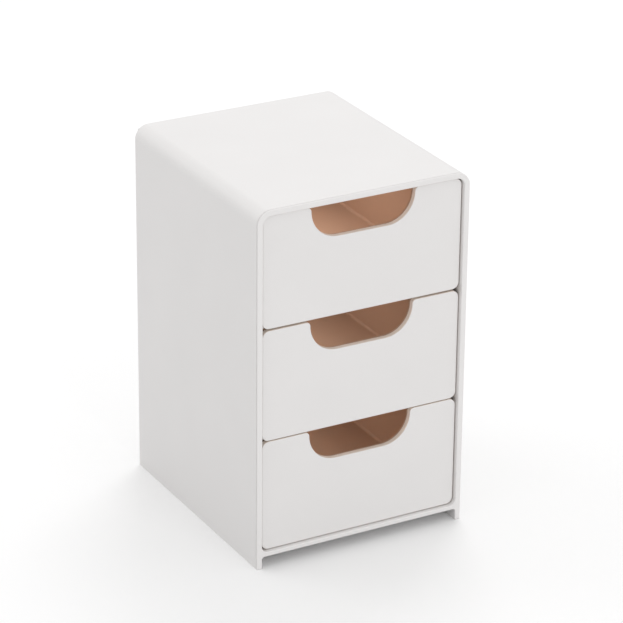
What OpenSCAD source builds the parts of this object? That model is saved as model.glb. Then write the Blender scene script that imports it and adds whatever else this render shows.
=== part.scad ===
// Desktop mini drawers, in millimetres.
// A white plastic case stands on two skids, which are its side walls run down to the table.
// A back panel closes it, two shelves divide it, and three drawers pull out of it.
// Each drawer is a brown tray with a white front staked onto it, notched for a finger.
// +Z is up, the drawers open towards -Y, and the origin is on the table under the middle.

/* [Case] */
// Outer width of the case
case_w = 80; // [72:1:160]
// Outer depth of the case
case_d = 90; // [70:1:160]
// Outer height of the case
case_h = 130; // [100:1:240]
// Thickness of the side walls, the top and the skids
wall = 2; // [1.6:0.1:3]
// Radius of the two outer top corners
corner_r = 5; // [3.5:0.1:8]
// Rounding of the case's front and back edges
edge_r = 0.45; // [0.2:0.05:0.7]
// Thickness of the base plate between the skids
base_t = 1.7; // [1.5:0.1:3]
// Radius inside the bay where the base plate meets the side walls
bay_fillet_r = 2.3; // [0.6:0.1:4]
// Height of the skids under the base plate
skid_h = 4.2; // [4.2:0.1:12]
// Radius where the skids meet the underside of the base plate
skid_fillet_r = 1; // [0.3:0.1:2]

/* [Back panel] */
// Thickness of the back panel
back_t = 2; // [1.2:0.1:3]
// Depth of the rebate that the back panel sits in, measured into the walls
rebate_d = 0.9; // [0.5:0.1:1.1]
// Gap round the back panel inside its rebate
back_fit = 0.15; // [0.05:0.05:0.3]

/* [Shelves] */
// Thickness of a shelf
shelf_t = 1.4; // [1:0.1:3]
// Depth of the grooves that hold the shelves, measured into the side walls
groove_d = 0.8; // [0.5:0.1:1.1]
// Gap between a shelf and the sides, top and ends of its grooves
shelf_fit = 0.15; // [0.05:0.05:0.3]

/* [Drawer fronts] */
// Thickness of a drawer front
front_t = 1.8; // [1.4:0.1:4]
// How far the fronts stand back from the case's front edge
front_recess = 1.5; // [0.5:0.1:5]
// Gap round each front and between the fronts
front_gap = 0.5; // [0.3:0.1:1.2]
// How far a front hangs down over the edge of the shelf or rails behind it
front_lap = 1; // [0.5:0.1:2]
// Rounding of the edge round a front's face and its notch
front_edge_r = 0.45; // [0.2:0.05:0.7]
// Width of the finger notch, where its rounds turn into its lips
notch_w = 39; // [30:1:48]
// Depth of the finger notch below the top edge
notch_depth = 11.75; // [10:0.25:18]
// Rounding where the notch's sides meet the top edge
notch_lip_r = 1.5; // [1:0.1:2.5]

/* [Drawer trays] */
// Thickness of a tray's four walls
tray_wall = 1.3; // [1:0.1:3]
// Thickness of a tray's floor
tray_floor = 1.4; // [1:0.1:3]
// Radius inside a tray's upright corners
tray_inner_r = 1.2; // [1.1:0.1:3]
// Radius inside a tray where the floor meets the walls
tray_cove_r = 1; // [0.3:0.1:1]
// Gap between a tray and the case's side walls
tray_side_gap = 1.5; // [0.8:0.1:3]
// Gap between a shut tray and the back panel
tray_back_gap = 1; // [0.3:0.1:5]
// Gap between a tray's rim and what is above it
rim_gap = 0.4; // [0.3:0.1:2]
// How far the tray's notch stands back from the notch in its front
notch_step = 0.3; // [0:0.1:1]

/* [Runners and stops] */
// Height of the runners under a tray
runner_h = 1.2; // [0.8:0.1:3]
// Width of a runner
runner_w = 2.4; // [1.5:0.1:5]
// Distance from a tray's side to the middle of its runner
runner_inset = 12.5; // [6:0.5:18]
// Running gap under the runners, behind the fronts and at the stops
slide_gap = 0.3; // [0.1:0.05:0.5]
// Thickness of the catch rib across the back of a tray's underside
catch_t = 1.5; // [1:0.1:4]
// Width of the ramped stop that holds the catch rib
stop_w = 14; // [8:1:20]
// Length of the ramped stop
stop_l = 4; // [3:0.1:6]
// Length of the flat on top of the stop
stop_flat = 1.6; // [0.8:0.1:2.5]
// Distance from a shelf's front edge to the back of its stop
stop_inset = 11.6; // [7:0.1:25]

/* [Pegs] */
// Diameter of the pegs that hold a front on its tray
peg_d = 3; // [2:0.1:4]
// Radial gap round a peg in its hole
peg_fit = 0.05; // [0.02:0.01:0.1]
// Distance from a front's side edge to a peg
peg_inset_x = 7.5; // [6:0.1:8]
// Distance from a front's lower or upper edge to a peg
peg_inset_z = 9; // [7.5:0.1:12]
// Diameter of a peg's flattened head
peg_head_d = 4.4; // [4.2:0.1:5.5]
// Thickness of a peg's flattened head
peg_head_t = 0.6; // [0.3:0.1:1]

/* [Hidden] */

$fn = 96;
// How far a cutter runs past the face that it opens
over = 1;
// How far the cutters for rounded edges run past the faces, which is less than any radius
edge_over = 0.2;
// How far the space between the skids is drawn past the table, clear of its lower rounds
foot_over = 2 * skid_fillet_r;

// The levels that a drawer can have, counted from the table
bottom = 0;
middle = 1;
top = 2;
drawers = 3;

// The bay is the space inside the case
bay_w = case_w - 2 * wall;
bay_floor = skid_h + base_t;
bay_h = case_h - wall - bay_floor;
bay_r = corner_r - wall;
case_front = -case_d / 2;
case_back = case_d / 2;
back_y = case_back - back_t;

// The fronts are stacked with equal gaps, and their corners clear the bay's corners. Their
// height is a whole number of hundredths, and what is left over widens the gap at the top.
front_w = bay_w - 2 * front_gap;
front_h = floor(100 * (bay_h - (drawers + 1) * front_gap) / drawers) / 100;
front_r = max(bay_r, bay_fillet_r) - front_gap;
front_y = case_front + front_recess;
front_back = front_y + front_t;
shelf_front = front_back + slide_gap;
function front_z(level) = bay_floor + front_gap + level * (front_h + front_gap);

// A track is the surface that a tray's runners slide over: the rails' top or a shelf's top
function track_z(level) = front_z(level) + front_lap;

// A rim clears the shelf above it, and the bay's rounded upper corner, which comes down by
// corner_drop over a tray's side, in whole hundredths
corner_reach = max(bay_r - tray_side_gap, 0);
corner_drop = ceil(100 * (bay_r - sqrt(bay_r * bay_r - corner_reach * corner_reach))) / 100;
rim_drop = rim_gap - front_gap + max(shelf_t - front_lap, corner_drop);

// A tray's sizes, with its heights counted from its front's lower edge
tray_w = bay_w - 2 * tray_side_gap;
tray_back = back_y - tray_back_gap;
tray_d = tray_back - front_back;
tray_r = tray_inner_r + tray_wall;
tray_foot = front_lap + slide_gap;
tray_low = tray_foot + runner_h;
tray_rim = front_h - rim_drop;
runner_x = tray_w / 2 - runner_inset;

// The stop's back face, which the catch rib meets when a drawer is pulled right out
stop_y = shelf_front + stop_inset;

peg_x = front_w / 2 - peg_inset_x;
peg_heights = [peg_inset_z, front_h - peg_inset_z];

case_colour = [0.93, 0.92, 0.91];
front_colour = [0.89, 0.88, 0.87];
tray_colour = [0.63, 0.46, 0.36];

// Turns an outline's Y to Z, so that what was above it faces the front
module upright() {
    rotate([90, 0, 0])
        children();
}

// Extrudes an outline drawn in X and Z along Y, from y = start
module along_y(start, length) {
    translate([0, start + length, 0])
        upright()
            linear_extrude(length)
                children();
}

// A rectangle that stands on the X axis, with one radius below and one above
module rounded_rect(w, h, low_r, high_r) {
    translate([-w / 2, low_r])
        square([w, h - low_r - high_r]);
    for (end = [[0, low_r], [h - high_r, high_r]])
        translate([-w / 2 + end[1], end[0]])
            square([w - 2 * end[1], end[1]]);
    for (side = [-1, 1], end = [[low_r, low_r], [h - high_r, high_r]])
        translate([side * (w / 2 - end[1]), end[0]])
            circle(end[1]);
}

// What a rounded edge leaves out, drawn for a solid that fills the quarter below and left of
// the origin
module edge_waste(r) {
    difference() {
        translate([-r, -r])
            square(r + edge_over);
        translate([-r, -r])
            circle(r);
    }
}

// Rounds off an edge along an outline in the plane Z = 0, on a solid below that plane.
// The outline is walked from the origin towards +X with the solid on the left. Each step is
// [length, bend_r, angle]: straight on, and then a bend to the left, or right if angle < 0.
module edge_walk(steps, r, k = 0) {
    if (k < len(steps)) {
        length = steps[k][0];
        bend_r = steps[k][1];
        angle = steps[k][2];
        right = angle < 0 ? 1 : 0;
        if (length > 0)
            rotate([90, 0, 90])
                linear_extrude(length)
                    mirror([1, 0])
                        edge_waste(r);
        translate([length, 0, 0])
            mirror([0, right, 0])
                translate([0, bend_r, 0])
                    rotate(-90)
                        rotate_extrude(angle = abs(angle))
                            translate([bend_r, 0])
                                mirror([right, 0])
                                    edge_waste(r);
        translate([length, sign(angle) * bend_r, 0])
            rotate(angle)
                translate([0, -sign(angle) * bend_r, 0])
                    edge_walk(steps, r, k + 1);
    }
}

// Rounds off the edge of a rounded rectangle that stands on the X axis. The solid is inside the
// rectangle, or round it if it is a hole.
module edge_rounds(w, h, low_r, high_r, r, hole) {
    first_r = hole ? high_r : low_r;
    second_r = hole ? low_r : high_r;
    side_h = h - low_r - high_r;
    angle = hole ? -90 : 90;
    translate([first_r - w / 2, hole ? h : 0, 0])
        edge_walk([[w - 2 * first_r, first_r, angle],
                   [side_h, second_r, angle],
                   [w - 2 * second_r, second_r, angle],
                   [side_h, first_r, angle]], r);
}

// The bay's outline, grown by some distance all round
module bay_outline(grow) {
    translate([0, bay_floor - grow])
        rounded_rect(bay_w + 2 * grow, bay_h + 2 * grow, bay_fillet_r + grow, bay_r + grow);
}

// The case seen from the front: a ring with its side walls run down as skids
module case_outline() {
    difference() {
        union() {
            translate([-case_w / 2, 0])
                square([case_w, case_h - corner_r]);
            translate([-case_w / 2 + corner_r, 0])
                square([case_w - 2 * corner_r, case_h]);
            for (side = [-1, 1])
                translate([side * (case_w / 2 - corner_r), case_h - corner_r])
                    circle(corner_r);
        }
        bay_outline(0);
        translate([0, -foot_over])
            rounded_rect(bay_w, skid_h + foot_over, skid_fillet_r, skid_fillet_r);
    }
}

// The rounds along the outside of one end of the case
module outside_rounds() {
    translate([0, -2 * corner_r, 0])
        edge_rounds(case_w, case_h + 2 * corner_r, corner_r, corner_r, edge_r, false);
}

// The rounds along the bay's mouth and between the skids
module mouth_rounds() {
    translate([0, bay_floor, 0])
        edge_rounds(bay_w, bay_h, bay_fillet_r, bay_r, edge_r, true);
    translate([0, -foot_over, 0])
        edge_rounds(bay_w, skid_h + foot_over, skid_fillet_r, skid_fillet_r, edge_r, true);
}

// Groove in both side walls, open at the back, for the shelf under one level
module shelf_groove(level) {
    translate([-bay_w / 2 - groove_d, shelf_front - shelf_fit, track_z(level) - shelf_t])
        cube([bay_w + 2 * groove_d, back_y - shelf_front + 2 * shelf_fit, shelf_t + shelf_fit]);
}

// Ramped stop that stands on the plane Z = 0, with its catching face towards the back
module stop(height) {
    translate([-stop_w / 2, stop_y, 0])
        rotate([90, 0, 90])
            linear_extrude(stop_w)
                polygon([[-stop_l, 0], [0, 0], [0, height], [-stop_flat, height]]);
}

// Finger notch drawn about X = 0, with its floor at Z = 0 and its mouth at Z = mouth. Each side
// is one round up from the floor, which turns into the round lip at the mouth.
module notch(w, mouth, lip_r) {
    side_r = mouth - lip_r;
    translate([side_r - w / 2, 0])
        square([w - 2 * side_r, side_r]);
    for (side = [-1, 1])
        translate([side * (w / 2 - side_r), side_r])
            circle(side_r);
    difference() {
        translate([-w / 2 - lip_r, side_r])
            square([w + 2 * lip_r, lip_r + over]);
        for (side = [-1, 1])
            translate([side * (w / 2 + lip_r), side_r])
                circle(lip_r);
    }
}

// The round along the edge of a front's face, and down through its notch
module face_rounds() {
    side_h = front_h - 2 * front_r;
    side_r = notch_depth - notch_lip_r;
    shoulder = (front_w - notch_w) / 2 - front_r - notch_lip_r;
    translate([front_r - front_w / 2, 0, 0])
        edge_walk([[front_w - 2 * front_r, front_r, 90],
                   [side_h, front_r, 90],
                   [shoulder, notch_lip_r, 90],
                   [0, side_r, -90],
                   [notch_w - 2 * side_r, side_r, -90],
                   [0, notch_lip_r, 90],
                   [shoulder, front_r, 90],
                   [side_h, front_r, 90]], front_edge_r);
}

// Repeats a peg or its hole at a drawer's four places, pointing to the back
module at_pegs(y) {
    for (side = [-1, 1], height = peg_heights)
        translate([side * peg_x, y, height])
            rotate([-90, 0, 0])
                children();
}

module case_shell() {
    rail_h = track_z(bottom) - bay_floor;
    color(case_colour) {
        difference() {
            along_y(case_front, case_d)
                case_outline();
            along_y(back_y, back_t + over)
                bay_outline(rebate_d);
            shelf_groove(middle);
            shelf_groove(top);
            translate([0, case_front, 0])
                upright() {
                    outside_rounds();
                    mouth_rounds();
                }
            translate([0, case_back, 0])
                mirror([0, 1, 0])
                    upright()
                        outside_rounds();
        }
        for (side = [-1, 1])
            translate([side * runner_x - runner_w / 2, shelf_front, bay_floor])
                cube([runner_w, back_y - shelf_front, rail_h]);
        translate([0, 0, bay_floor])
            stop(rail_h + runner_h);
    }
}

module back_panel() {
    color(case_colour)
        along_y(back_y, back_t)
            bay_outline(rebate_d - back_fit);
}

module shelf(level) {
    shelf_w = bay_w + 2 * (groove_d - shelf_fit);
    color(case_colour)
        translate([0, 0, track_z(level)]) {
            translate([-shelf_w / 2, shelf_front, -shelf_t])
                cube([shelf_w, back_y - shelf_fit - shelf_front, shelf_t]);
            stop(runner_h);
        }
}

// The space inside a tray, with its floor at Z = 0 rounded into its walls
module tray_space() {
    inner_w = tray_w - 2 * tray_wall;
    inner_d = tray_d - 2 * tray_wall;
    difference() {
        linear_extrude(front_h)
            rounded_rect(inner_w, inner_d, tray_inner_r, tray_inner_r);
        mirror([0, 0, 1])
            edge_rounds(inner_w, inner_d, tray_inner_r, tray_inner_r, tray_cove_r, false);
    }
}

module tray(level) {
    mouth = notch_depth + notch_step - rim_drop;
    color(tray_colour)
        translate([0, 0, front_z(level)]) {
            difference() {
                translate([0, front_back, tray_low])
                    linear_extrude(tray_rim - tray_low)
                        rounded_rect(tray_w, tray_d, tray_r, tray_r);
                translate([0, front_back + tray_wall, tray_low + tray_floor])
                    tray_space();
                along_y(front_back - over, tray_wall + 2 * over)
                    translate([0, tray_rim - mouth])
                        notch(notch_w + 2 * notch_step, mouth, notch_lip_r);
                at_pegs(front_back - over)
                    cylinder(h = tray_wall + 2 * over, d = peg_d + 2 * peg_fit);
            }
            for (side = [-1, 1])
                translate([side * runner_x - runner_w / 2, front_back + tray_r, tray_foot])
                    cube([runner_w, tray_d - tray_r, runner_h]);
            translate([-runner_x, tray_back - catch_t, tray_foot])
                cube([2 * runner_x, catch_t, runner_h]);
        }
}

module front(level) {
    color(front_colour)
        translate([0, 0, front_z(level)]) {
            difference() {
                along_y(front_y, front_t)
                    rounded_rect(front_w, front_h, front_r, front_r);
                along_y(front_y - over, front_t + 2 * over)
                    translate([0, front_h - notch_depth])
                        notch(notch_w, notch_depth, notch_lip_r);
                translate([0, front_y, 0])
                    upright()
                        face_rounds();
            }
            at_pegs(front_back)
                cylinder(h = tray_wall + peg_head_t, d = peg_d);
            at_pegs(front_back + tray_wall)
                cylinder(h = peg_head_t, d = peg_head_d);
        }
}

module lower_shelf() { shelf(middle); }
module upper_shelf() { shelf(top); }
module bottom_tray() { tray(bottom); }
module middle_tray() { tray(middle); }
module top_tray() { tray(top); }
module bottom_front() { front(bottom); }
module middle_front() { front(middle); }
module top_front() { front(top); }

case_shell();
back_panel();
lower_shelf();
upper_shelf();
bottom_tray();
middle_tray();
top_tray();
bottom_front();
middle_front();
top_front();
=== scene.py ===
# %% [markdown]
# # Desktop mini drawers
#
# This little cabinet is 8 cm wide, 9 cm deep and 13 cm high. A white case stands on two skids,
# and three brown trays slide in it, each with a white front and a finger notch for a handle.
#
# The engineering model is loaded first, as a fixed frame that says where every piece is. Its own
# meshes are loose triangles, and pieces that are built from a few clean faces shade better along
# their rounded edges. So each piece is built again here, at the place that the frame gives.

# %% Load the frame
import math

import bmesh
import bpy
from mathutils import Matrix, Vector


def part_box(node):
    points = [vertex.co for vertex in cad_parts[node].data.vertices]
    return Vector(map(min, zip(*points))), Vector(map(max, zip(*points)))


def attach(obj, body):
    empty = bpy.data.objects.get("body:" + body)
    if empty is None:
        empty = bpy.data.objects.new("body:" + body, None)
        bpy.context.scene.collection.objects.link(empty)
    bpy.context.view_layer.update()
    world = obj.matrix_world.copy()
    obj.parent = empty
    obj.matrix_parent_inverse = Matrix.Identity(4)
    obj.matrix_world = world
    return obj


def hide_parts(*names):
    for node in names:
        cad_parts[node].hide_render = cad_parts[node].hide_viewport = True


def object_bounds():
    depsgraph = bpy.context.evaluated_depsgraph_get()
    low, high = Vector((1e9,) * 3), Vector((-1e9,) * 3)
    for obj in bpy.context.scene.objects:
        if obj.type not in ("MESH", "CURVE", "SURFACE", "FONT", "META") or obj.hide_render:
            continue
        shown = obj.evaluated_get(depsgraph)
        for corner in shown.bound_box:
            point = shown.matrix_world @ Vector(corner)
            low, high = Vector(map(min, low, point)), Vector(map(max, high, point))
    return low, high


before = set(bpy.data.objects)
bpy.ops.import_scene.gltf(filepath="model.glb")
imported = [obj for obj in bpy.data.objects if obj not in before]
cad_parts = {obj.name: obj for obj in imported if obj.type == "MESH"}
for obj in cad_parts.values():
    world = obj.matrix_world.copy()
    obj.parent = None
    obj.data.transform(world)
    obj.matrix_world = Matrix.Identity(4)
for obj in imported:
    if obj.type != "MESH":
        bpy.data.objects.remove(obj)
cad_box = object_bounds()
print("frame in mm:", [[round(v * 1000, 2) for v in corner] for corner in cad_box])

# %% [markdown]
# ## Helpers for shapes
#
# A bmesh is Blender's workshop for a mesh: it holds corners, edges and faces, and operators cut,
# push and round them. Lengths are in millimetres while a piece is in the workshop, because those
# are the numbers that a maker would measure. They become metres when the piece is finished.
#
# Faces could be picked by their index, but an index changes with every cut. They are found by
# where they lie and which way they face instead, which stays true when a size is changed.

# %% Find faces
MM = 0.001
# How close, in millimetres, a point lies to a plane that it is on, and a face's middle to the
# line that it is found by
TOUCH, NEAR = 0.01, 0.1
# A face that stands square to an axis has at least this share of its normal along it
SQUARE = 0.99


def find(bm, test, faces=None):
    """The faces, out of some or all, whose middle c and outward normal n pass the test."""
    bmesh.ops.recalc_face_normals(bm, faces=bm.faces[:])
    choice = bm.faces if faces is None else faces
    return [f for f in choice if test(f.calc_center_bounds(), f.normal)]


def once(parts):
    """Some parts without repeats, in the order in which they came."""
    return list(dict.fromkeys(parts))


def whole(faces):
    """Some faces with all their edges and points, which is what most operators ask for."""
    return once(part for f in faces for part in (f, *f.edges, *f.verts))


# %% [markdown]
# Two operators do most of the shaping. Bisect cuts faces along a plane, which leaves the surface
# as it was and only adds edges to it. Extrude then pushes a patch of it in or out, and closes
# the sides behind it. So a groove or a rib never has to be fitted on: it grows out of its wall.

# %% Cut and push faces
X, Y, Z = Vector((1, 0, 0)), Vector((0, 1, 0)), Vector((0, 0, 1))


def cut(bm, faces, axis, *places):
    """Cuts some faces along planes that stand square to an axis, and gives all their parts."""
    for place in places:
        made = bmesh.ops.bisect_plane(
            bm, geom=whole(faces), dist=1e-4, plane_co=axis * place, plane_no=axis)
        faces = [g for g in made["geom"] if isinstance(g, bmesh.types.BMFace)]
    return faces


def push(bm, faces, *move):
    """Extrudes faces by a distance, and gives them at their new place."""
    made = bmesh.ops.extrude_face_region(bm, geom=whole(faces))["geom"]
    bmesh.ops.translate(
        bm, vec=move, verts=[g for g in made if isinstance(g, bmesh.types.BMVert)])
    return [g for g in made if isinstance(g, bmesh.types.BMFace)]


# %% [markdown]
# Moulded plastic has no sharp outline: its corners are round, and so are the edges that a finger
# meets. The bevel operator makes both. On a flat outline it rounds a corner point, and on a
# solid it rounds an edge.

# %% Round corners and edges
def outline(bm, corners, y):
    """A flat face that stands at y, from corners given as (x, z, radius)."""
    points = [bm.verts.new((x, y, z)) for x, z, r in corners]
    bm.faces.new(points)
    round_points(bm, points, [r for x, z, r in corners])


def round_points(bm, points, radii):
    """Rounds the corner points of flat faces."""
    for radius in sorted(set(radii) - {0}):
        bmesh.ops.bevel(
            bm, geom=[v for v, r in zip(points, radii) if r == radius], offset=radius,
            offset_type="OFFSET", segments=max(6, round(radius * 3)), profile=0.5,
            affect="VERTICES", material=-1)
    bmesh.ops.remove_doubles(bm, verts=bm.verts[:], dist=1e-4)


def border(faces):
    """The edges around a group of faces."""
    return [e for e in once(e for f in faces for e in f.edges)
            if sum(f in faces for f in e.link_faces) == 1]


def round_edges(bm, edges, radius, segments=4):
    """Rounds the edges of a solid."""
    bmesh.ops.bevel(
        bm, geom=edges, offset=radius, offset_type="OFFSET", segments=segments, profile=0.5,
        affect="EDGES", material=-1)


# %% [markdown]
# A finished piece becomes an object that rides on one moving body of the cabinet, and stands for
# one node of the frame. Its faces are shaded smooth, except across edges over 40 degrees. The
# weighted normals keep the large flat faces flat, so that all the turn of the light falls on the
# narrow rounds between them.

# %% Finish a piece
def finish(bm, node, body, slot):
    """Makes the object for one node, which rides on a body and has the finish of a slot."""
    bmesh.ops.remove_doubles(bm, verts=bm.verts[:], dist=1e-4)
    bmesh.ops.recalc_face_normals(bm, faces=bm.faces[:])
    open_edges = sum(not e.is_manifold for e in bm.edges)
    bmesh.ops.scale(bm, vec=(MM, MM, MM), verts=bm.verts[:])
    mesh = bpy.data.meshes.new(node + "_moulded")
    bm.to_mesh(mesh)
    bm.free()
    mesh.shade_smooth()
    mesh.set_sharp_from_angle(angle=math.radians(40))
    mesh.materials.append(finishes[slot])
    piece = bpy.data.objects.new(node + "_moulded", mesh)
    bpy.context.scene.collection.objects.link(piece)
    flat = piece.modifiers.new("flat faces stay flat", "WEIGHTED_NORMAL")
    flat.weight = 100
    flat.keep_sharp = True
    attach(piece, body)
    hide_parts(node)
    print(f"{piece.name}: {len(mesh.polygons)} faces, {open_edges} open edges")


# %% [markdown]
# ## Helpers for finishes
#
# A material is a small network of nodes. One helper adds any node, fills in its settings and
# wires its inputs, so that each network reads from top to bottom like a recipe. Colours are
# written as on a colour picker, and the other helper turns them into the linear light values
# that a renderer works with.

# %% Colour and node helpers
def colour(code):
    """An sRGB colour such as "E6E4E2" as linear red, green, blue and alpha."""
    parts = [int(code[k:k + 2], 16) / 255 for k in (0, 2, 4)]
    return (*(v / 12.92 if v <= 0.04045 else ((v + 0.055) / 1.055) ** 2.4 for v in parts), 1)


def add(tree, kind, settings=None, links=None):
    """Adds a node. Settings name its properties or inputs, and links join its inputs."""
    made = tree.nodes.new(kind)
    for key, value in (settings or {}).items():
        if isinstance(key, str) and hasattr(made, key):
            setattr(made, key, value)
        else:
            made.inputs[key].default_value = value
    for key, socket in (links or {}).items():
        tree.links.new(socket, made.inputs[key])
    return made


print("picker's mid grey 808080 is", round(colour("808080")[0], 3), "in linear light")

# %% [markdown]
# ## Moulded plastic
#
# Such cabinets are injection moulded from ABS or polystyrene. The mould is spark eroded, which
# leaves a fine satin grain that spreads a reflection into a soft sheen. The fronts are thin, and
# along their edges the brown of the trays shines through the white. A renderer can follow that
# light, but slowly, so the faces that turn away from the front get painted light and shade
# instead: a warmer, slightly darker colour that also darkens the gaps between the fronts.
#
# The grain could be an image, but a noise texture has no seams and no size limit. Real grain is
# about 0.1 mm, too fine to show from here, so it is drawn three times as coarse. A second, much
# slower noise stands for the faint waviness of a thin moulded wall.

# %% A recipe for satin moulded plastic
grain_size, grain_deep = 0.3 * MM, 0.012 * MM
wave_size, wave_deep = 18 * MM, 0.02 * MM
rough_play = 0.04
# A normal's share along Y, on a face that is turned away from the front and on one that isn't:
# the painted edge glow and shade fade out between them
turned_away, facing_front = 0.3, 0.9


def moulded_plastic(name, light, dark, rough, painted_edge_glow_shade=None):
    """Satin injection-moulded plastic. Its colour wanders between light and dark, and the last
    argument is a painted warm glow and painted shade: the colour of the faces that turn away from
    the front."""
    material = bpy.data.materials.new(name)
    material.use_nodes = True
    tree = material.node_tree
    tree.nodes.clear()
    place = add(tree, "ShaderNodeTexCoord").outputs["Object"]
    grain = add(tree, "ShaderNodeTexNoise",
                {"Scale": 1 / grain_size, "Detail": 2.0, "Roughness": 0.6}, {"Vector": place})
    waves = add(tree, "ShaderNodeTexNoise",
                {"Scale": 1 / wave_size, "Detail": 1.0, "Roughness": 0.4}, {"Vector": place})
    tone = add(tree, "ShaderNodeMix", {"data_type": "RGBA", 6: colour(dark), 7: colour(light)},
               {0: waves.outputs["Fac"]})
    # Painted light and shade: faces turned away from the front get a warmer, darker colour for
    # the trays' brown glow and for the shade in the gaps between the fronts
    if painted_edge_glow_shade:
        across = add(tree, "ShaderNodeSeparateXYZ",
                     links={0: add(tree, "ShaderNodeTexCoord").outputs["Normal"]})
        facing = add(tree, "ShaderNodeMath", {"operation": "ABSOLUTE"}, {0: across.outputs["Y"]})
        turned = add(tree, "ShaderNodeMapRange",
                     {"From Min": turned_away, "From Max": facing_front,
                      "To Min": 1.0, "To Max": 0.0},
                     {"Value": facing.outputs[0]})
        tone = add(tree, "ShaderNodeMix", {"data_type": "RGBA", 7: colour(painted_edge_glow_shade)},
                   {0: turned.outputs["Result"], 6: tone.outputs[2]})
    gloss = add(tree, "ShaderNodeMapRange",
                {"To Min": rough - rough_play, "To Max": rough + rough_play},
                {"Value": grain.outputs["Fac"]})
    wavy = add(tree, "ShaderNodeBump", {"Strength": 0.25, "Distance": wave_deep},
               {"Height": waves.outputs["Fac"]})
    bump = add(tree, "ShaderNodeBump", {"Strength": 0.2, "Distance": grain_deep},
               {"Height": grain.outputs["Fac"], "Normal": wavy.outputs["Normal"]})
    skin = add(tree, "ShaderNodeBsdfPrincipled", {"IOR": 1.5},
               {"Base Color": tone.outputs[2], "Roughness": gloss.outputs["Result"],
                "Normal": bump.outputs["Normal"]})
    add(tree, "ShaderNodeOutputMaterial", links={"Surface": skin.outputs["BSDF"]})
    return material


# %% [markdown]
# The case and its plates are white ABS, and the trays brown polystyrene, both quite satin. All
# three finishes come from the one recipe, so that they look like parts of one product. Each
# wanders between two close tones, because a real moulding never has quite one colour.

# %% Mix the three finishes
finishes = {
    # ABS is a little warm in itself, and its satin skin gives the eye an even, soft white
    "case_plastic": moulded_plastic("satin_moulded_white_abs_case", "EAE8E7", "E7E5E4", 0.42),
    # The fronts are ABS from another mould: a hair greyer to the eye, with a painted warm glow
    # and painted shade on their edges
    "front_plastic": moulded_plastic("satin_moulded_white_abs_front", "E8E6E5", "E5E3E2", 0.42,
                                     "E6DACF"),
    # Polystyrene that is coloured right through looks milky, and a little duller than ABS
    "tray_plastic": moulded_plastic("satin_moulded_brown_styrene", "B09079", "AC8C76", 0.45)}
print("finishes:", [m.name for m in finishes.values()])

# %% [markdown]
# ## Case
#
# The real case is one moulding: a top, two sides, and a base plate a little above the table, so
# that the sides run down as two skids. It could be a box with a second box taken out of it, but
# a boolean leaves long thin triangles that shade badly. Seen from the front, the case is only an
# outline. So half of that outline is drawn from a few corners, a mirror adds the other half, and
# the whole is pushed to its depth. The back panel sits in a rebate, so the outline is drawn as
# two bands there: an outer one that runs on to the back, and an inner one that ends at the panel.

# %% Draw half of the case's outline and mirror it
shell = [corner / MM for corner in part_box("case_shell")]
side, height = shell[1].x, shell[1].z
front_end, back_end = shell[0].y, shell[1].y
panel_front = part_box("back_panel")[0].y / MM
wall, skid, base, rebate = 2.0, 4.3, 1.6, 0.9
bay_side, bay_low, bay_high = side - wall, skid + base, height - wall
top_round, skid_round, low_round = 5.0, 1.0, 2.3
high_round = top_round - wall
outer = [(0, skid, 0), (-bay_side, skid, skid_round), (-bay_side, 0, 0), (-side, 0, 0),
         (-side, height, top_round), (0, height, 0)]
seat = [(0, bay_high + rebate, 0), (-bay_side - rebate, bay_high + rebate, high_round + rebate),
        (-bay_side - rebate, bay_low - rebate, low_round + rebate), (0, bay_low - rebate, 0)]
mouth = [(0, bay_low, 0), (-bay_side, bay_low, low_round), (-bay_side, bay_high, high_round),
         (0, bay_high, 0)]
case = bmesh.new()
corners = outer + seat + mouth
points = [case.verts.new((x, panel_front, z)) for x, z, r in corners]
case.faces.new(points[:len(outer + seat)])
case.faces.new(points[len(outer):])
round_points(case, points, [r for x, z, r in corners])
bmesh.ops.mirror(case, geom=case.verts[:] + case.edges[:] + case.faces[:],
                 matrix=Matrix.Identity(4), merge_dist=1e-3, axis="X")
bmesh.ops.recalc_face_normals(case, faces=case.faces[:])
print("case outline:", len(case.verts), "points,", len(case.faces), "faces")

# %% [markdown]
# Pushed forward, the flat outline becomes the whole case, and its outer band is pushed back round
# the panel.

# %% Push the case to its depth
push(case, case.faces[:], 0, front_end - panel_front, 0)
outer_band = find(case, lambda c, n: c.y > panel_front - NEAR and abs(c.z - height / 2) < NEAR)
push(case, outer_band, 0, back_end - panel_front, 0)
print("case:", len(case.faces), "faces at its full depth")

# %% [markdown]
# A moulded case has a parting line, where the two halves of the mould met. Here it is a fine
# groove round the outside, close behind the front edge. A painted line would vanish from the
# side, so the outer faces are cut twice across the depth, and the strip between the cuts is
# inset straight down.

# %% Press in the parting line
line_front, line_wide, line_deep, line_low = front_end + 0.45, 0.35, 0.2, 0.8
sleeve = find(case, lambda c, n: abs(n.y) < TOUCH and c.y < panel_front and c.z > line_low
              and (abs(c.x) > bay_side + NEAR or c.z > bay_high + NEAR))
sleeve = cut(case, sleeve, Y, line_front, line_front + line_wide)
sleeve = cut(case, sleeve, Z, line_low)
parting = find(case, lambda c, n: line_front < c.y < line_front + line_wide and c.z > line_low,
               sleeve)
bmesh.ops.inset_region(case, faces=parting, thickness=0, depth=-line_deep,
                       use_even_offset=True, use_boundary=True)
print("parting line:", len(parting), "faces")

# %% [markdown]
# Now the two ends get their round edges. The front has them along the outside and the bay's
# mouth, and the back only along the outside, because the panel needs a square seat.

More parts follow.
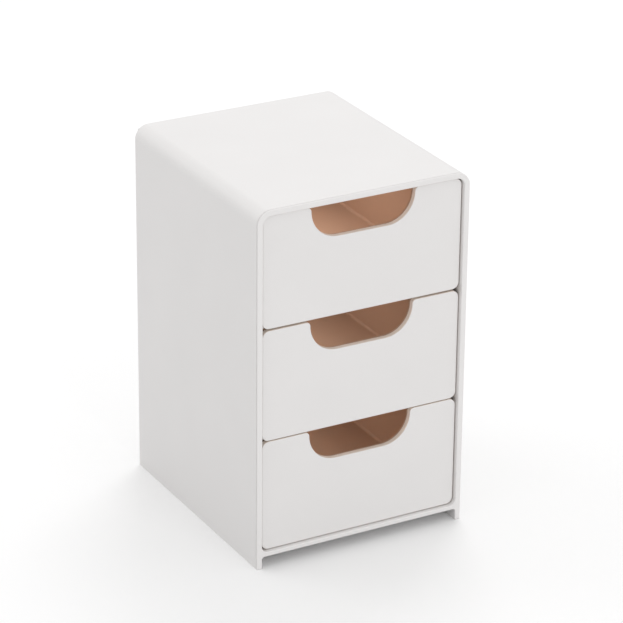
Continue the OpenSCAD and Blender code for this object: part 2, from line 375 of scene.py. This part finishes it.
# %% Round the case's ends
edge_round = 0.3
round_edges(case, border(find(case, lambda c, n: c.y < front_end + TOUCH)), edge_round)
back_edges = [e for e in border(find(case, lambda c, n: c.y > back_end - TOUCH))
              if any(abs(v.co.x) > bay_side + rebate + NEAR or v.co.z < skid + NEAR
                     or v.co.z > bay_high + rebate + NEAR for v in e.verts)]
round_edges(case, back_edges, edge_round)
print("case:", len(case.faces), "faces after its ends were rounded")

# %% [markdown]
# Inside, each side wall has two grooves that hold the shelves. They are patches of a flat face
# that are pushed in, as a mould's cutter would do it. Their heights come from the fronts,
# because each front laps a little over the edge of the shelf behind it.

# %% Cut the grooves for the shelves
LEVELS = ("bottom", "middle", "top")
fronts_low = [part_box(level + "_front")[0].z / MM for level in LEVELS]
lap, shelf_front = 1.0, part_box("upper_shelf")[0].y / MM
tracks = [z + lap for z in fronts_low]
shelf_thick, groove_deep, fit = 1.4, 0.8, 0.15
groove_end = panel_front - 0.1
walls = find(case, lambda c, n: abs(n.x) > SQUARE and abs(abs(c.x) - bay_side) < TOUCH
             and c.z > bay_low)
edges = [z for track in tracks[1:] for z in (track - shelf_thick, track + fit)]
walls = cut(case, cut(case, walls, Z, *edges), Y, shelf_front - fit, groove_end)
grooves = find(case, lambda c, n: shelf_front < c.y < groove_end
               and min(abs(c.z - track + shelf_thick / 2) for track in tracks[1:]) < fit, walls)
for sign in (-1, 1):
    push(case, [f for f in grooves if f.is_valid and f.normal.x * sign < 0],
         sign * groove_deep, 0, 0)
print("grooves:", len(grooves), "for the shelves at", [round(z, 2) for z in tracks[1:]], "mm")

# %% [markdown]
# The bottom tray runs on two rails that are moulded on the base plate, and a ramped stop between
# them keeps it from falling out. The same stop is needed on each shelf, so a helper raises it.

# %% Raise the rails and the stop
runner_x, runner_wide, runner_high = 24.0, 2.4, 1.2
rail_edges = [s * (runner_x + t * runner_wide / 2) for s in (-1, 1) for t in (-1, 1)]
stop_side, stop_back, stop_long, stop_flat = 7.0, shelf_front + 11.6, 4.0, 1.6


def raise_stop(bm, top, high):
    """Raises the stop on a flat top, and slopes its front so that the catch rib rides over."""
    parts = cut(bm, cut(bm, top, X, -stop_side, stop_side), Y, stop_back - stop_long, stop_back)
    lid = push(bm, find(bm, lambda c, n: abs(c.x) < stop_side
                        and stop_back - stop_long < c.y < stop_back, parts), 0, 0, high)
    brow = once(v for f in lid for v in f.verts if v.co.y < stop_back - stop_long + TOUCH)
    bmesh.ops.translate(bm, vec=(0, stop_long - stop_flat, 0), verts=brow)


plate = find(case, lambda c, n: n.z > SQUARE and abs(c.z - bay_low) < TOUCH)
plate = cut(case, cut(case, plate, X, *rail_edges), Y, shelf_front, groove_end)
rails = find(case, lambda c, n: abs(abs(c.x) - runner_x) < NEAR
             and shelf_front < c.y < groove_end, plate)
plate = find(case, lambda c, n: abs(c.x) < runner_x - runner_wide, plate)
push(case, rails, 0, 0, tracks[0] - bay_low)
raise_stop(case, plate, tracks[0] - bay_low + runner_high)
finish(case, "case_shell", "case", "case_plastic")

# %% [markdown]
# ## Back panel and shelves
#
# The back panel is a flat plate with the outline of its seat. The shelves slide in from behind
# before it goes in. Each has a stop near its front edge, for the tray that runs on it. Their
# edges are broken by a hair, as on any moulded plate.

# %% Make the back panel and the shelves
plate_edge = 0.2
panel = [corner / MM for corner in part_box("back_panel")]
panel_low, panel_high = low_round + rebate - fit, high_round + rebate - fit
back = bmesh.new()
outline(back, [(panel[0].x, panel[0].z, panel_low), (panel[1].x, panel[0].z, panel_low),
               (panel[1].x, panel[1].z, panel_high), (panel[0].x, panel[1].z, panel_high)],
        panel[0].y)
push(back, back.faces[:], 0, panel[1].y - panel[0].y, 0)
round_edges(back, border(find(back, lambda c, n: c.y > panel[1].y - TOUCH)), plate_edge, 3)
finish(back, "back_panel", "case", "case_plastic")

for node, track in zip(("lower_shelf", "upper_shelf"), tracks[1:]):
    low, high = [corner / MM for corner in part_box(node)]
    shelf = bmesh.new()
    bmesh.ops.create_cube(shelf, size=1)
    bmesh.ops.scale(shelf, vec=(high.x - low.x, high.y - low.y, shelf_thick), verts=shelf.verts)
    bmesh.ops.translate(shelf, vec=(0, (high.y + low.y) / 2, track - shelf_thick / 2),
                        verts=shelf.verts)
    round_edges(shelf, border(find(shelf, lambda c, n: n.y < -SQUARE)), plate_edge, 3)
    raise_stop(shelf, find(shelf, lambda c, n: n.z > SQUARE), runner_high)
    finish(shelf, node, "case", "case_plastic")

# %% [markdown]
# ## Drawers
#
# The three drawers are alike, so a tray and a front are each made once, with heights counted
# from the front's lower edge, and then copied to their levels.
#
# Both have a round hole or peg in a flat wall. A face can't hold a hole, so a small square is cut
# out round the place and filled again up to a circle. The same helper serves the pegs, which are
# drawn out of the circle ring by ring, as on a lathe.

# %% Open a circle in a flat wall
peg, peg_fit, peg_x, peg_levels = 1.5, 0.05, 30.0, (9.0, 31.03)
# Half the side of the square that is opened round each peg
patch = 2.6


def open_circles(bm, walls, radius):
    """Cuts a circle at each peg's place in walls that stand along X, and gives its edges."""
    parts = cut(bm, walls, X, *(s * peg_x + t * patch for s in (-1, 1) for t in (-1, 1)))
    strips = find(bm, lambda c, n: abs(abs(c.x) - peg_x) < NEAR, parts)
    parts = cut(bm, strips, Z, *(z + t * patch for z in peg_levels for t in (-1, 1)))
    rings = []
    for f in find(bm, lambda c, n: min(abs(c.z - z) for z in peg_levels) < NEAR, parts):
        middle = f.calc_center_bounds()
        square = list(f.edges)
        bmesh.ops.delete(bm, geom=[f], context="FACES_ONLY")
        ring = bmesh.ops.create_circle(
            bm, cap_ends=False, radius=radius, segments=32,
            matrix=Matrix.Translation(middle) @ Matrix.Rotation(math.pi / 2, 4, "X"))["verts"]
        circle = once(e for v in ring for e in v.link_edges)
        bmesh.ops.triangle_fill(bm, edges=square + circle, use_beauty=True)
        rings.append((middle, circle))
    return rings


# %% [markdown]
# ### Tray
#
# A tray starts as a solid block with round upright corners. Its top is inset by the wall's
# thickness and pushed down to the floor, and the corner between floor and walls gets a cove,
# so that small parts are easy to sweep out. A part of the front wall is then taken out for the
# finger, and its corners are rounded with bevels.

# %% Hollow the tray
tray_box = [corner / MM - Vector((0, 0, fronts_low[0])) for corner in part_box("bottom_tray")]
tray_side, tray_front, tray_back = tray_box[1].x, tray_box[0].y, tray_box[1].y
tray_wall, tray_floor, tray_foot, rim = 1.3, 1.4, tray_box[0].z, tray_box[1].z
tray_round, cove = 2.5, 1.0
underside = tray_foot + runner_high
tray = bmesh.new()
points = [tray.verts.new((x, y, underside)) for x, y in (
    (-tray_side, tray_front), (tray_side, tray_front), (tray_side, tray_back),
    (-tray_side, tray_back))]
tray.faces.new(points)
round_points(tray, points, [tray_round] * 4)
push(tray, tray.faces[:], 0, 0, rim - underside)
bmesh.ops.recalc_face_normals(tray, faces=tray.faces[:])
top = find(tray, lambda c, n: n.z > SQUARE)
bmesh.ops.inset_region(tray, faces=top, thickness=tray_wall, use_even_offset=True,
                       use_boundary=True)
floor = push(tray, top, 0, 0, underside + tray_floor - rim)
round_edges(tray, border(floor), cove)
print("tray:", len(tray.faces), "faces after it was hollowed")

# %% [markdown]
# The notch goes through three faces: the front wall's outside, its inside, and the rim between
# them. They are cut at the notch's sides and floor, the pieces inside are deleted, and the two
# open edges are bridged. The flat faces beside it are joined up again, so that the bevels find
# a clean corner.

# %% Cut the finger notch into the tray
notch_side, notch_floor, lip = 19.8, 27.98, 1.5


def at_front(c, n):
    """Whether a face belongs to the tray's front wall."""
    return (c.y < tray_front + tray_wall + TOUCH and abs(c.x) < NEAR
            and (abs(n.y) > SQUARE or c.z > rim - TOUCH))


def through_wall(e, z):
    """Whether an edge runs through the front wall at the notch's side, at some height."""
    return (abs(e.verts[0].co.y - e.verts[1].co.y) > tray_wall - TOUCH
            and all(abs(v.co.z - z) < TOUCH and abs(abs(v.co.x) - notch_side) < TOUCH
                    for v in e.verts))


parts = cut(tray, find(tray, at_front), X, -notch_side, notch_side)
parts = cut(tray, find(tray, lambda c, n: abs(c.x) < NEAR, parts), Z, notch_floor)
gone = find(tray, lambda c, n: c.z > notch_floor, parts)
bmesh.ops.delete(tray, geom=gone, context="FACES")
sill = [e for e in tray.edges
        if e.is_boundary and abs(e.verts[0].co.y - e.verts[1].co.y) < TOUCH]
bmesh.ops.bridge_loops(tray, edges=sill)
seams = [e for e in tray.edges if len(e.link_faces) == 2 and e.calc_face_angle(1) < 1e-3
         and all(abs(abs(v.co.x) - notch_side) < TOUCH for v in e.verts)]
bmesh.ops.dissolve_edges(tray, edges=seams, use_verts=True)
for z, radius in ((rim, lip), (notch_floor, rim - lip - notch_floor)):
    round_edges(tray, [e for e in tray.edges if through_wall(e, z)], radius,
                max(6, round(radius * 2)))
bmesh.ops.remove_doubles(tray, verts=tray.verts[:], dist=1e-3)
print("tray:", len(tray.faces), "faces after its notch was cut")

# %% [markdown]
# The rim gets a small round along both its edges, notch and all. Below, the tray stands on two
# runners, and a rib across the back catches the stop when the tray is pulled right out.

# %% Round the rim and add the runners
lips = find(tray, lambda c, n: n.z > SQUARE and c.z > rim - TOUCH or abs(n.y) < TOUCH
            and notch_floor - TOUCH < c.z and abs(c.y - tray_front - tray_wall / 2) < TOUCH)
round_edges(tray, border(lips), edge_round, 3)
runner_front, catch = tray_front + tray_round, tray_back - 1.5
below = find(tray, lambda c, n: n.z < -SQUARE)
below = cut(tray, cut(tray, below, Y, runner_front, catch), X, *rail_edges)
feet = find(tray, lambda c, n: c.y > runner_front and (
    abs(abs(c.x) - runner_x) < NEAR or abs(c.x) < runner_x and c.y > catch), below)
push(tray, feet, 0, 0, -runner_high)
print("tray:", len(tray.faces), "faces with its runners and catch rib")

# %% [markdown]
# The pegs of the front go through four holes in the tray's front wall. Each hole is a circle in
# the outside of the wall and one in the inside, and a bridge joins them into a short tube.

# %% Make the peg holes
walls = find(tray, lambda c, n: abs(n.y) > SQUARE and c.y < tray_front + tray_wall + TOUCH
             and c.z > underside)
holes = open_circles(tray, walls, peg + peg_fit)
for middle, circle in holes:
    if middle.y < tray_front + TOUCH:
        partner = next(other for there, other in holes if there.y > middle.y + NEAR
                       and (there.xz - middle.xz).length < TOUCH)
        bmesh.ops.bridge_loops(tray, edges=circle + partner)
print("tray:", len(tray.faces), "faces with", len(holes) // 2, "peg holes")

# %% [markdown]
# ### Front
#
# A front is a thin plate with the notch in its top edge. Each side of the notch is one big round
# up from the floor, which turns into a small lip. Its face has a soft edge all round, notch
# included, which is the bright line that one sees.

# %% Make the front's plate
plate_box = [corner / MM - Vector((0, 0, fronts_low[0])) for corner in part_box("bottom_front")]
half, tall, face_y = plate_box[1].x, plate_box[1].z, plate_box[0].y
front_round, notch_half, notch_low = 2.5, 19.5, tall - 11.75
front = bmesh.new()
outline(front, [(-half, 0, front_round), (half, 0, front_round), (half, tall, front_round),
                (notch_half, tall, lip), (notch_half, notch_low, tall - lip - notch_low),
                (-notch_half, notch_low, tall - lip - notch_low), (-notch_half, tall, lip),
                (-half, tall, front_round)], tray_front)
push(front, front.faces[:], 0, face_y - tray_front, 0)
round_edges(front, border(find(front, lambda c, n: c.y < face_y + TOUCH)), edge_round)
print("front:", len(front.faces), "faces without its pegs")

# %% [markdown]
# Four pegs on the back of the front go through the tray's wall and are flattened inside, which is
# how such fronts are usually held without screws. A peg could be a cylinder pushed into the
# plate, but then the two would only overlap. So each circle in the plate is drawn out through
# a profile of radii and depths: the shank, the head, and the head's broken edge.

# %% Draw out the pegs
head, head_thick, head_edge = 2.2, 0.6, 0.2
inside = tray_front + tray_wall
head_end = inside + head_thick
profile = [(peg, inside), (head, inside), (head, head_end - head_edge),
           (head - 0.3 * head_edge, head_end - 0.4 * head_edge), (head - head_edge, head_end)]
for middle, circle in open_circles(
        front, find(front, lambda c, n: c.y > tray_front - TOUCH), peg):
    radius = peg
    for wider, y in profile:
        made = bmesh.ops.extrude_edge_only(front, edges=circle)["geom"]
        ring = [g for g in made if isinstance(g, bmesh.types.BMVert)]
        circle = [g for g in made if isinstance(g, bmesh.types.BMEdge)]
        bmesh.ops.translate(front, vec=(0, y - ring[0].co.y, 0), verts=ring)
        bmesh.ops.scale(front, vec=(wider / radius, 1, wider / radius), verts=ring,
                        space=Matrix.Translation(-middle))
        radius = wider
    bmesh.ops.edgeloop_fill(front, edges=circle)
print("front:", len(front.faces), "faces with its pegs")

# %% [markdown]
# Real drawers never sit quite true, and the eye knows it from the gaps: each is a line of its own
# darkness. The fronts sit a little to the right, the middle one hangs a little low, and the
# bottom one reaches a little further down. The play between a tray and the case allows for that.

# %% Copy the drawer to its three levels
aside, hang, reach = 0.16, 0.17, 0.25
for level, low in zip(LEVELS, fronts_low):
    box = tray.copy()
    bmesh.ops.translate(box, vec=(0, 0, low), verts=box.verts[:])
    finish(box, level + "_tray", level + "_drawer", "tray_plastic")
    cover = front.copy()
    if level == "bottom":
        lowest = [v for v in cover.verts if v.co.z < front_round + NEAR]
        bmesh.ops.translate(cover, vec=(0, 0, -reach), verts=lowest)
    drop = hang if level == "middle" else 0
    bmesh.ops.translate(cover, vec=(aside, 0, low - drop), verts=cover.verts[:])
    finish(cover, level + "_front", level + "_drawer", "front_plastic")
tray.free()
front.free()

# %% [markdown]
# ## Floor, light and camera
#
# A product photograph like this is taken on a white sheet with large soft lamps. Under a plain
# light the sheet would render pale grey. So the camera's own rays find it pure white, while the
# light that it throws back at the cabinet is that of pale grey paper. The shadow stays.

# %% Lay the white floor
fibre_size, floor_size = 0.5 * MM, 4.0
sheet = bpy.data.materials.new("white_photo_paper")
sheet.use_nodes = True
tree = sheet.node_tree
tree.nodes.clear()
# Paper's fibres make its tone uneven by a hair
fibres = add(tree, "ShaderNodeTexNoise", {"Scale": 1 / fibre_size, "Detail": 2.0},
             {"Vector": add(tree, "ShaderNodeTexCoord").outputs["Object"]})
paper = add(tree, "ShaderNodeMix",
            {"data_type": "RGBA", 6: colour("DEDEDE"), 7: colour("E0E0E0")},
            {0: fibres.outputs["Fac"]})
seen = add(tree, "ShaderNodeMix", {"data_type": "RGBA", 7: colour("FFFFFF")},
           {0: add(tree, "ShaderNodeLightPath").outputs["Is Camera Ray"], 6: paper.outputs[2]})
matt = add(tree, "ShaderNodeBsdfDiffuse", links={"Color": seen.outputs[2]})
add(tree, "ShaderNodeOutputMaterial", links={"Surface": matt.outputs[0]})

ground = bmesh.new()
bmesh.ops.create_grid(ground, x_segments=1, y_segments=1, size=floor_size)
mesh = bpy.data.meshes.new("floor")
ground.to_mesh(mesh)
ground.free()
mesh.materials.append(sheet)
floor = bpy.data.objects.new("floor", mesh)
bpy.context.scene.collection.objects.link(floor)
print("floor:", [round(v, 2) for v in floor.dimensions], "m")

# %% [markdown]
# The world gives an even light from all round. It could be white at full strength, but the lamps
# add their own light, and white plastic would then clip. So it lights the cabinet a little less
# than that, and only the camera and the reflections see it as the white room that it stands for.

# %% Light it evenly from all round
world = bpy.data.worlds.new("studio")
bpy.context.scene.world = world
world.use_nodes = True
tree = world.node_tree
tree.nodes.clear()
ray = add(tree, "ShaderNodeLightPath")
seen = add(tree, "ShaderNodeMath", {"operation": "MAXIMUM"},
           {0: ray.outputs["Is Camera Ray"], 1: ray.outputs["Is Glossy Ray"]})
plain = add(tree, "ShaderNodeBackground", {"Color": colour("FFFFFF"), "Strength": 0.826})
white = add(tree, "ShaderNodeBackground", {"Color": colour("FFFFFF"), "Strength": 1.0})
choice = add(tree, "ShaderNodeMixShader",
             links={0: seen.outputs[0], 1: plain.outputs[0], 2: white.outputs[0]})
add(tree, "ShaderNodeOutputWorld", links={"Surface": choice.outputs[0]})
print("world:", round(plain.inputs["Strength"].default_value, 3), "of full white")

# %% [markdown]
# Two high lamps behind make the top the brightest side, a low one in front lights the drawers'
# fronts, and a weak one fills the left side. Only the rear ones can be reflected, because the
# others would glare in the top when it is seen from behind.

# %% Hang the soft lamps
def lamp(name, place, turn, watts, size):
    """A soft lamp of some width and length. Unturned, it shines straight down."""
    light = bpy.data.lights.new(name, "AREA")
    light.shape, light.energy = "RECTANGLE", watts
    light.size, light.size_y = size
    holder = bpy.data.objects.new(name, light)
    holder.matrix_world = Matrix.Translation(place) @ turn
    bpy.context.scene.collection.objects.link(holder)
    return holder


def towards_middle(place):
    """The turn that points a lamp at the middle of the cabinet."""
    way = (cad_box[0] + cad_box[1]) / 2 - Vector(place)
    return way.to_track_quat("-Z", "Y").to_matrix().to_4x4()


for name, place, watts, size in (
        ("rear_right_lamp", (0.5, 0.6, 1.2), 3.2, 0.6),
        ("rear_left_lamp", (-0.9, 0.9, 0.9), 1.7, 0.8),
        ("front_lamp", (0.1, -1.35, 0.3), 3.3, 0.6),
        ("left_lamp", (-1.3, -0.2, 0.3), 0.4, 0.6)):
    soft_lamp = lamp(name, place, towards_middle(place), watts, (size, size))
    soft_lamp.visible_glossy = "rear" in name
    print(f"{name}: {watts} W from {size} m square")

# %% [markdown]
# Thin white plastic lets some light through, so the trays glow a little from the light that has
# wandered in through the case. A renderer can follow that light through every wall, but it takes
# very long and stays noisy. A weak lamp under each lid, which isn't seen itself, does the same
# for the eye. The top drawer gets the most, because the top of the case faces the rear lamps.
# They hang a little left of the middle and towards the back, so that the right wall is as
# bright as the floor.

# %% Light the insides of the drawers
lids = [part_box("lower_shelf")[1].z - (shelf_thick + runner_high) * MM,
        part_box("upper_shelf")[1].z - (shelf_thick + runner_high) * MM, bay_high * MM]
lamp_y, lamp_drop, lamp_long = 0.01, 0.35 * MM, 0.06
for name, lid, lamp_x, watts, wide in (
        ("bottom", lids[0], -0.024, 0.024, 0.025),
        ("middle", lids[1], -0.0105, 0.0218, 0.03),
        ("top", lids[2], -0.008, 0.0302, 0.045)):
    inside_lamp = lamp(name + "_drawer_lamp", (lamp_x, lamp_y, lid - lamp_drop),
                       Matrix.Identity(4), watts, (wide, lamp_long))
    inside_lamp.visible_camera = inside_lamp.visible_glossy = False
    print(inside_lamp.name, "hangs at", round(lid / MM, 1), "mm")

# %% [markdown]
# The camera stands where the photographer's did: in front, to the left and well above. It could
# be pointed at the cabinet with a constraint, but three angles and a place say it exactly. They
# and the long lens were solved from the cabinet's eight outer corners.

# %% Place the camera
turn, tilt, roll = math.radians(-29.15), math.radians(23.93), math.radians(0.57)
forward = Vector((-math.sin(turn) * math.cos(tilt), math.cos(turn) * math.cos(tilt),
                  -math.sin(tilt)))
level = Vector((math.cos(turn), math.sin(turn), 0))
upward = level.cross(forward)
right = math.cos(roll) * level + math.sin(roll) * upward
up = math.cos(roll) * upward - math.sin(roll) * level
camera = bpy.data.objects.new("camera", bpy.data.cameras.new("camera"))
camera.data.lens, camera.data.sensor_width = 181.91, 36
place = Matrix((right, up, -forward)).transposed().to_4x4()
place.translation = (-0.480113, -0.870068, 0.510603)
camera.matrix_world = place
bpy.context.scene.collection.objects.link(camera)
bpy.context.scene.camera = camera
bpy.context.scene.view_settings.view_transform = "Standard"
print("camera:", [round(v, 3) for v in camera.location], "m")

# %% [markdown]
# ## Finish
#
# The new pieces have to fill the same box as the frame did. The last line brings the scene up
# to date.

# %% Bring the scene up to date
bpy.context.view_layer.update()
